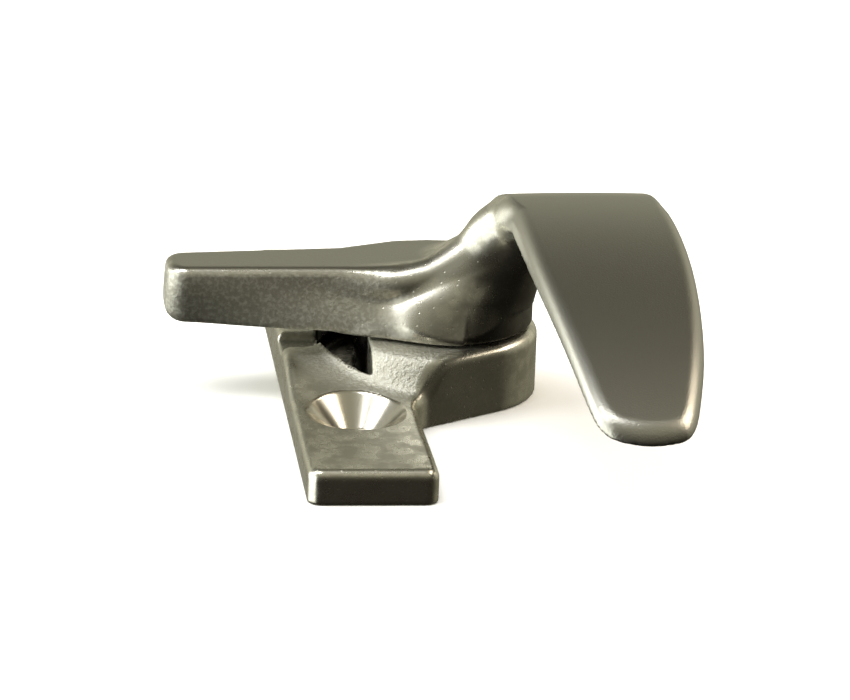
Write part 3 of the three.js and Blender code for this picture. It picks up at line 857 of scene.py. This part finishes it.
@dataclass
class PivotStack:
    """The spindle, bush, stop pin, disc springs, washer and clip that hold the lever on."""

    pivot_x: float
    flat_half: float = 3.3
    ease: float = 0.15
    stamped_ease: float = 0.12

    def _span(self, node: str) -> tuple[float, float, float]:
        """A node's outer radius and its lowest and highest heights."""
        low, high = frame_mm(node)
        return (high[1] - low[1]) / 2, low[2], high[2]

    def _ring(self, corners: Sequence[tuple[float, float]], radius: float) -> Surface:
        """A closed profile with rounded corners, turned round the pivot axis."""
        return turned(eased(corners, radius, True), self.pivot_x, True)

    def spindle(self) -> Surface:
        """The spindle: turned, grooved for the clip, with two flats at its lower end.

        Formula: a turned profile, and below the washer's top Y is held between the two flats.
        """
        radius, low, high = self._span("pivot_spindle")
        _, clip_low, clip_high = self._span("retaining_clip")
        _, _, washer_high = self._span("retaining_washer")
        neck = radius - 0.3
        corners = [
            (0, low), (neck - 0.3, low), (neck, low + 0.3), (neck, clip_low - 0.03),
            (3.1, clip_low - 0.03), (3.1, clip_high + 0.03), (radius, clip_high + 0.03),
            (radius, high - 0.5), (radius - 0.5, high), (0, high),
        ]
        made = turned(eased(corners, 0.06, False), self.pivot_x, False)
        flat = made.points[:, 2] < washer_high + 0.1
        made.points[flat, 1] = np.clip(made.points[flat, 1], -self.flat_half, self.flat_half)
        return made

    def bush(self) -> Surface:
        """The flanged bush: a turned ring with its flange uppermost."""
        flange, low, high = self._span("pivot_bush")
        bore, sleeve, under = 4.08, 4.9, 8.32
        corners = [
            (bore, low), (sleeve, low), (sleeve, under),
            (flange, under), (flange, high), (bore, high),
        ]
        return self._ring(corners, self.ease)

    def disc_spring(self, node: str, inner_high: bool) -> Surface:
        """A disc spring: a slightly coned ring.

        Args:
            node: the frame's node for it.
            inner_high: whether its inner rim is the higher one.

        Returns:
            The surface.
        """
        outer, low, high = self._span(node)
        inner, thickness = 4.25, 0.6
        rise = high - low - thickness
        inner_low, outer_low = (low + rise, low) if inner_high else (low, low + rise)
        corners = [
            (inner, inner_low), (outer, outer_low),
            (outer, outer_low + thickness), (inner, inner_low + thickness),
        ]
        return self._ring(corners, self.stamped_ease)

    def washer(self) -> Surface:
        """The washer: a flat ring whose hole has two flats to fit the spindle.

        Formula: a turned ring, and inside the hole's radius Y is held between the two flats.
        """
        outer, low, high = self._span("retaining_washer")
        bore = 4.08
        corners = [(bore, low), (outer, low), (outer, high), (bore, high)]
        made = self._ring(corners, self.stamped_ease)
        rim = np.hypot(made.points[:, 0] - self.pivot_x, made.points[:, 1]) < bore + 0.2
        keyed = self.flat_half + 0.08
        made.points[rim, 1] = np.clip(made.points[rim, 1], -keyed, keyed)
        return made

    def stop_pin(self) -> Surface:
        """The stop pin: a dowel with domed ends, on its own axis."""
        low, high = frame_mm("stop_pin")
        radius = (high[0] - low[0]) / 2
        corners = [(0, low[2]), (radius, low[2]), (radius, high[2]), (0, high[2])]
        made = turned(eased(corners, 0.35, False), 0.0, False, 40)
        made.points[:, :2] += (low[:2] + high[:2]) / 2
        return made

    def clip_distance(self, p: Array) -> Array:
        """Distance to the E-clip: a ring with three inner lugs and an open mouth."""
        _, low, high = self._span("retaining_clip")
        u, v = p[:, 0] - self.pivot_x, np.abs(p[:, 1])
        from_axis = np.hypot(u, v)
        ring = np.abs(from_axis - 5.15) - 0.65
        for bearing in (math.pi / 2 + 0.35, math.pi):
            along = u * math.cos(bearing) + v * math.sin(bearing)
            across = np.abs(u * math.sin(bearing) - v * math.cos(bearing))
            lug = np.maximum(np.abs(along - 4.1) - 1.0, across - 1.2)
            ring = join(ring, lug, 0.35)
        ring = cut(ring, from_axis - 3.16, 0.1)
        ring = cut(ring, np.maximum(v - 2.7, -u), 0.3)
        middle, half = (low + high) / 2, (high - low) / 2
        return meet(ring, np.abs(p[:, 2] - middle) - half, 0.1)

    def clip(self) -> Surface:
        """The E-clip's mesh."""
        low, high = frame_mm("retaining_clip")
        points, quads = Lattice(low - 0.5, high + 0.5, 0.12).mesh(self.clip_distance)
        return Surface(points, [quads])


# ---- finishes -----------------------------------------------------------------------------------
def srgb(code: str) -> tuple[float, float, float, float]:
    """An sRGB hex colour as the linear colour that shaders take."""
    parts = [int(code[i : i + 2], 16) / 255 for i in (1, 3, 5)]
    linear = [p / 12.92 if p <= 0.04045 else ((p + 0.055) / 1.055) ** 2.4 for p in parts]
    return (linear[0], linear[1], linear[2], 1.0)


def per_metre(millimetres: float) -> float:
    """The texture size at which a pattern's features are this many millimetres apart."""
    return 1.0 / (millimetres * MM)


def node(
    tree: bpy.types.NodeTree,
    kind: str,
    settings: Optional[dict] = None,
    inputs: Optional[dict] = None,
) -> bpy.types.Node:
    """Adds a node with its settings, its values and its links.

    Args:
        tree: the node tree.
        kind: the node's type name.
        settings: properties of the node.
        inputs: a value, or another node's output socket, for each named or numbered input.

    Returns:
        The new node.
    """
    made = tree.nodes.new(kind)
    for key, value in (settings or {}).items():
        setattr(made, key, value)
    for key, value in (inputs or {}).items():
        if isinstance(value, bpy.types.NodeSocket):
            tree.links.new(value, made.inputs[key])
        else:
            made.inputs[key].default_value = value
    return made


@dataclass(frozen=True)
class Finish:
    """What every finish has: a name and a way to make its material."""

    name: str

    def start(self) -> tuple[bpy.types.Material, bpy.types.NodeTree, bpy.types.NodeSocket]:
        """An empty node material and its Object coordinates."""
        material = bpy.data.materials.new(self.name)
        material.use_nodes = True
        tree = material.node_tree
        tree.nodes.clear()
        place = node(tree, "ShaderNodeTexCoord").outputs["Object"]
        return material, tree, place

    def close(self, tree: bpy.types.NodeTree, inputs: dict) -> None:
        """Ends the tree in a principled shader with these inputs."""
        shader = node(tree, "ShaderNodeBsdfPrincipled", None, inputs)
        node(tree, "ShaderNodeOutputMaterial", None, {"Surface": shader.outputs["BSDF"]})


def blend(
    tree: bpy.types.NodeTree, share: bpy.types.NodeSocket | float, low: object, high: object
) -> bpy.types.NodeSocket:
    """A value or colour between two others.

    Args:
        tree: the node tree.
        share: zero gives low and one gives high.
        low: a number, a colour or a socket.
        high: the same for the other end.

    Returns:
        The mixed socket.
    """
    numbers = not any(isinstance(v, tuple) for v in (low, high)) and not any(
        getattr(v, "type", "") == "RGBA" for v in (low, high)
    )
    kind = "FLOAT" if numbers else "RGBA"
    first = 2 if numbers else 6
    inputs = {0: share, first: low, first + 1: high}
    return node(tree, "ShaderNodeMix", {"data_type": kind}, inputs).outputs[0 if numbers else 2]


def ranged(
    tree: bpy.types.NodeTree, value: bpy.types.NodeSocket, low: float, high: float
) -> bpy.types.NodeSocket:
    """A value that goes from zero at low to one at high in a smooth step."""
    inputs = {"Value": value, "From Min": low, "From Max": high}
    settings = {"interpolation_type": "SMOOTHSTEP"}
    return node(tree, "ShaderNodeMapRange", settings, inputs).outputs["Result"]


@dataclass(frozen=True)
class CastStainless(Finish):
    """Investment-cast stainless steel, tumbled bright, with its rough skin left in the hollows.

    Tumbling leaves a soft, slightly wavy polish, so highlights are bright but broken up. The
    cast skin is a fine grain of bumps that scatters the light and looks paler and greyer. Small
    pits from the mould stay in both. A near-black painted shade darkens the places that lie in
    shadow: the hollow under the spur and the lever's flank beside the hub.
    """

    polished: str = "#cfcdc2"
    stained: str = "#aeaca1"
    skin: str = "#b0b0a8"
    # near-black painted shade, for the parts of the castings that lie in shadow
    painted_shade: str = "#1c1915"
    worked: str = "#d9d5c8"
    polished_roughness: float = 0.25
    skin_roughness: float = 0.52
    worked_roughness: float = 0.2
    worked_grain: float = 0.0
    mottle_mm: float = 2.6
    grain_mm: float = 0.5
    pit_mm: float = 0.9
    wave_mm: float = 5.0
    grit_mm: float = 0.22
    bump_mm: float = 0.16

    def material(self, extra: str) -> bpy.types.Material:
        """Makes the material.

        Args:
            extra: the point value for the worked faces: machined or linished.

        Returns:
            The material.
        """
        material, tree, place = self.start()
        skin = node(tree, "ShaderNodeAttribute", {"attribute_name": "cast_skin"}).outputs["Fac"]
        worked = node(tree, "ShaderNodeAttribute", {"attribute_name": extra}).outputs["Fac"]
        painted_shade = node(tree, "ShaderNodeAttribute", {"attribute_name": "painted_shade"}).outputs["Fac"]
        noise = {
            key: node(
                tree,
                "ShaderNodeTexNoise",
                None,
                {"Vector": place, "Scale": per_metre(size), "Detail": detail, "Roughness": rough},
            ).outputs["Fac"]
            for key, size, detail, rough in (
                ("mottle", self.mottle_mm, 5.0, 0.62),
                ("grain", self.grain_mm, 3.0, 0.6),
                ("wave", self.wave_mm, 0.0, 0.5),
                ("grit", self.grit_mm, 1.0, 0.5),
            )
        }
        pits = node(
            tree, "ShaderNodeTexVoronoi", {"feature": "F1"},
            {"Vector": place, "Scale": per_metre(self.pit_mm), "Randomness": 1.0},
        ).outputs["Distance"]
        pitted = ranged(tree, pits, 0.17, 0.07)
        patch = ranged(tree, noise["mottle"], 0.38, 0.62)
        colour = blend(tree, patch, srgb(self.stained), srgb(self.polished))
        speck = ranged(tree, noise["grain"], 0.42, 0.66)
        skin_colour = blend(tree, speck, srgb(self.stained), srgb(self.skin))
        colour = blend(tree, skin, colour, skin_colour)
        colour = blend(tree, worked, colour, srgb(self.worked))
        # painted shade: near black wherever the painted_shade value is set
        colour = blend(tree, painted_shade, colour, srgb(self.painted_shade))
        rough = blend(tree, patch, self.polished_roughness + 0.1, self.polished_roughness)
        rough = blend(tree, skin, rough, self.skin_roughness)
        rough = blend(tree, worked, rough, self.worked_roughness)
        gentle = blend(tree, 0.55, noise["wave"], 0.0)
        grit = blend(tree, 1.0 - self.worked_grain, noise["grit"], 0.0)
        height = blend(tree, skin, gentle, noise["grain"])
        height = blend(tree, worked, height, grit)
        soft = node(
            tree, "ShaderNodeBump", None,
            {"Strength": 1.0, "Distance": self.bump_mm * MM, "Height": height},
        ).outputs["Normal"]
        unworked = blend(tree, worked, pitted, 0.0)
        sharp = node(
            tree, "ShaderNodeBump", {"invert": True},
            {"Strength": 0.35, "Distance": 0.06 * MM, "Height": unworked, "Normal": soft},
        ).outputs["Normal"]
        self.close(
            tree,
            {"Base Color": colour, "Metallic": 1.0, "Roughness": rough, "Normal": sharp},
        )
        return material


@dataclass(frozen=True)
class PlainMetal(Finish):
    """A turned or stamped steel part: even, bright, with fine marks round its axis."""

    colour: str = "#bdbcb4"
    dull: str = "#8f8e88"
    roughness: float = 0.24
    mark_mm: float = 0.4

    def material(self) -> bpy.types.Material:
        """Makes the material."""
        material, tree, place = self.start()
        marks = node(
            tree, "ShaderNodeTexNoise", None,
            {"Vector": place, "Scale": per_metre(self.mark_mm), "Detail": 2.0},
        ).outputs["Fac"]
        share = ranged(tree, marks, 0.35, 0.65)
        colour = blend(tree, share, srgb(self.dull), srgb(self.colour))
        rough = blend(tree, share, self.roughness + 0.08, self.roughness)
        bump = node(
            tree, "ShaderNodeBump", None,
            {"Strength": 0.25, "Distance": 0.02 * MM, "Height": marks},
        ).outputs["Normal"]
        self.close(
            tree, {"Base Color": colour, "Metallic": 1.0, "Roughness": rough, "Normal": bump}
        )
        return material


@dataclass(frozen=True)
class Acetal(Finish):
    """Machined acetal: a waxy off-white plastic with a soft sheen."""

    colour: str = "#e6e1d3"
    shade: str = "#d6d0c0"

    def material(self) -> bpy.types.Material:
        """Makes the material."""
        material, tree, place = self.start()
        cloud = node(
            tree, "ShaderNodeTexNoise", None, {"Vector": place, "Scale": per_metre(1.5)}
        ).outputs["Fac"]
        colour = blend(tree, cloud, srgb(self.shade), srgb(self.colour))
        bump = node(
            tree, "ShaderNodeBump", None, {"Strength": 0.2, "Distance": 0.02 * MM, "Height": cloud}
        ).outputs["Normal"]
        self.close(tree, {"Base Color": colour, "Roughness": 0.42, "Normal": bump})
        return material


# ---- the handle ---------------------------------------------------------------------------------
@dataclass
class Handle:
    """The whole handle: builds each piece, dresses it and ties it to its body."""

    cast_base: CastStainless = CastStainless(
        "tumbled cast stainless, plate", polished="#e2e0d4", stained="#c2c0b4", skin="#d2d2c9"
    )
    cast_lever: CastStainless = CastStainless(
        "tumbled cast stainless, lever",
        skin="#d6d6cc",
        worked="#afaea6",
        worked_roughness=0.32,
        worked_grain=0.3,
        skin_roughness=0.6,
        bump_mm=0.09,
    )
    turned_steel: PlainMetal = PlainMetal("turned stainless")
    spring_steel: PlainMetal = PlainMetal("oiled spring steel", colour="#6d6f73", dull="#4b4d50")
    plastic: Acetal = Acetal("machined acetal")

    def build(self) -> None:
        """Makes every piece in order."""
        plate, lever = Backplate.from_frame(), Lever.from_frame()
        stack = PivotStack(plate.pivot_x)
        turned_steel, spring_steel = self.turned_steel.material(), self.spring_steel.material()
        pieces = (
            ("cast_plate", "backplate", Body.BASE, plate.surface(), "cast_steel",
             self.cast_base.material("machined")),
            ("cast_lever", "lever_casting", Body.LEVER, lever.surface(), "satin_steel",
             self.cast_lever.material("linished")),
            ("spindle", "pivot_spindle", Body.LEVER, stack.spindle(), "turned_steel", turned_steel),
            ("flanged_bush", "pivot_bush", Body.BASE, stack.bush(), "acetal",
             self.plastic.material()),
            ("dowel", "stop_pin", Body.LEVER, stack.stop_pin(), "turned_steel", turned_steel),
            ("upper_disc_spring", "disc_spring_upper", Body.BASE,
             stack.disc_spring("disc_spring_upper", True), "spring_steel", spring_steel),
            ("lower_disc_spring", "disc_spring_lower", Body.BASE,
             stack.disc_spring("disc_spring_lower", False), "spring_steel", spring_steel),
            ("keyed_washer", "retaining_washer", Body.LEVER, stack.washer(), "turned_steel",
             turned_steel),
            ("e_clip", "retaining_clip", Body.LEVER, stack.clip(), "spring_steel", spring_steel),
        )
        for name, cad_node, body, surface, slot, material in pieces:
            piece = surface.to_object(name)
            piece.data.materials.append(material)
            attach(piece, body.value)
            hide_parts(cad_node)
            LOG.info("%s: %d points on %s", name, len(surface.points), body.value)


# ---- the studio ---------------------------------------------------------------------------------
@dataclass
class Studio:
    """The floor, the room's light and the camera."""

    azimuth: float = math.radians(-6.78)
    elevation: float = math.radians(19.87)
    roll: float = math.radians(2.28)
    distance: float = 0.87127
    aim: tuple[float, float, float] = (0.01103, 0.0, 0.00474)
    lens: float = 283.65
    left_strength: float = 2.8

    # the room's brightness by height: beyond the handle, on the camera's side and to the left
    BEHIND = (
        (0.0, "#2c2a24"), (0.33, "#7a7766"), (0.48, "#bfbca6"), (0.67, "#c6c4b0"),
        (0.76, "#7e7c6c"), (0.86, "#514f43"), (0.94, "#5a584b"), (1.0, "#8b8977"),
    )
    BEFORE = (
        (0.0, "#1c1a16"), (0.33, "#2a2621"), (0.5, "#3b382f"), (0.65, "#5c594c"),
        (0.8, "#949180"), (0.92, "#b5b29e"), (1.0, "#8b8977"),
    )
    LEFT = (
        (0.0, "#2c2a26"), (0.2, "#8b8a84"), (0.33, "#f0f2ea"), (0.67, "#f0f2ea"),
        (0.85, "#a0a09a"), (1.0, "#8b8a84"),
    )

    def camera(self) -> None:
        """A long lens that looks down on the handle from the grip's side."""
        data = bpy.data.cameras.new("camera")
        data.lens = self.lens
        data.sensor_width = 36.0
        data.clip_start, data.clip_end = 0.01, 20.0
        level = math.cos(self.elevation)
        back = Vector(
            (
                math.sin(self.azimuth) * level,
                -math.cos(self.azimuth) * level,
                math.sin(self.elevation),
            )
        )
        right = Vector((0, 0, 1)).cross(back).normalized()
        above = back.cross(right)
        turned_right = right * math.cos(self.roll) + above * math.sin(self.roll)
        turned_above = above * math.cos(self.roll) - right * math.sin(self.roll)
        place = Matrix((turned_right, turned_above, back)).transposed().to_4x4()
        place.translation = Vector(self.aim) + back * self.distance
        made = bpy.data.objects.new("camera", data)
        made.matrix_world = place
        bpy.context.scene.collection.objects.link(made)
        bpy.context.scene.camera = made

    def floor(self) -> None:
        """A pale floor just under the mounting face, which the metal doesn't mirror."""
        half = 6.0
        depth = CAD_BOX[0][2] - 0.05 * MM
        signs = ((-1, -1), (1, -1), (1, 1), (-1, 1))
        corners = [(x * half, y * half, depth) for x, y in signs]
        mesh = bpy.data.meshes.new("floor")
        mesh.from_pydata(corners, [], [(0, 1, 2, 3)])
        made = bpy.data.objects.new("floor", mesh)
        bpy.context.scene.collection.objects.link(made)
        material = bpy.data.materials.new("pale floor")
        material.use_nodes = True
        shader = material.node_tree.nodes["Principled BSDF"]
        shader.inputs["Base Color"].default_value = srgb("#f6f6f4")
        shader.inputs["Roughness"].default_value = 0.9
        shader.inputs["Specular IOR Level"].default_value = 0.1
        mesh.materials.append(material)
        made.visible_glossy = False
        made.visible_shadow = False

    @staticmethod
    def ramp(
        tree: bpy.types.NodeTree, share: bpy.types.NodeSocket, stops: Sequence[tuple[float, str]]
    ) -> bpy.types.NodeSocket:
        """A run of colours from straight down to straight up.

        Args:
            tree: the world's node tree.
            share: zero straight down and one straight up.
            stops: where each colour stands, and the colour.

        Returns:
            The colour's socket.
        """
        made = node(tree, "ShaderNodeValToRGB", None, {"Fac": share})
        for place, _ in stops[1:-1]:
            made.color_ramp.elements.new(place)
        for element, (place, code) in zip(made.color_ramp.elements, stops):
            element.position, element.color = place, srgb(code)
        return made.outputs["Color"]

    def room(self) -> None:
        """A room whose brightness changes with height, apart for its far, near and left sides."""
        world = bpy.data.worlds.new("room")
        bpy.context.scene.world = world
        world.use_nodes = True
        tree = world.node_tree
        tree.nodes.clear()
        way = node(tree, "ShaderNodeTexCoord").outputs["Generated"]
        split = node(tree, "ShaderNodeSeparateXYZ", None, {0: way})
        share = node(
            tree, "ShaderNodeMapRange", None,
            {"Value": split.outputs["Z"], "From Min": -1.0, "From Max": 1.0},
        ).outputs["Result"]
        side = ranged(tree, split.outputs["Y"], -0.55, 0.35)
        before, behind = (self.ramp(tree, share, stops) for stops in (self.BEFORE, self.BEHIND))
        colour = blend(tree, side, before, behind)
        left = ranged(tree, split.outputs["X"], -0.6, -0.88)
        colour = blend(tree, left, colour, self.ramp(tree, share, self.LEFT))
        strength = blend(tree, left, 1.0, self.left_strength)
        sky = node(tree, "ShaderNodeBackground", None, {"Color": colour, "Strength": strength})
        node(tree, "ShaderNodeOutputWorld", None, {"Surface": sky.outputs["Background"]})

    def lamp(
        self,
        name: str,
        place: tuple[float, float, float],
        size: float,
        power: float,
        colour: str = "#ffffff",
        mirrored: bool = True,
    ) -> None:
        """A square soft lamp that points at the handle.

        Args:
            name: the lamp's name.
            place: where it stands, in metres.
            size: the length of its side in metres.
            power: its power in watts.
            colour: its colour.
            mirrored: whether the metal mirrors it; the floor is lit in either case.
        """
        data = bpy.data.lights.new(name, "AREA")
        data.shape, data.size, data.energy = "SQUARE", size, power
        data.color = srgb(colour)[:3]
        made = bpy.data.objects.new(name, data)
        made.location = place
        made.rotation_euler = (Vector(place) - Vector(self.aim)).to_track_quat("Z", "Y").to_euler()
        made.visible_glossy = mirrored
        bpy.context.scene.collection.objects.link(made)

    def build(self) -> None:
        """Puts up the whole studio."""
        self.camera()
        self.floor()
        self.room()
        self.lamp("ceiling panel", (0.0, 0.0, 2.0), 3.0, 70.0, mirrored=False)
        self.lamp("front lamp", (-1.0, -0.02, 1.25), 0.6, 7.0)
        self.lamp("overhead lamp", (-0.35, -0.16, 1.55), 0.5, 5.0)
        self.lamp("right lamp", (1.25, 0.1, 1.2), 1.1, 18.0, colour="#fff0dc")
        self.lamp("back lamp", (-1.6, 0.5, 0.5), 0.7, 6.0)
        bpy.context.scene.view_settings.view_transform = "Standard"


def main() -> None:
    """Builds the studio and the handle."""
    logging.basicConfig(level=logging.INFO, format="%(name)s %(message)s")
    Studio().build()
    Handle().build()


if __name__ == "__main__":
    main()
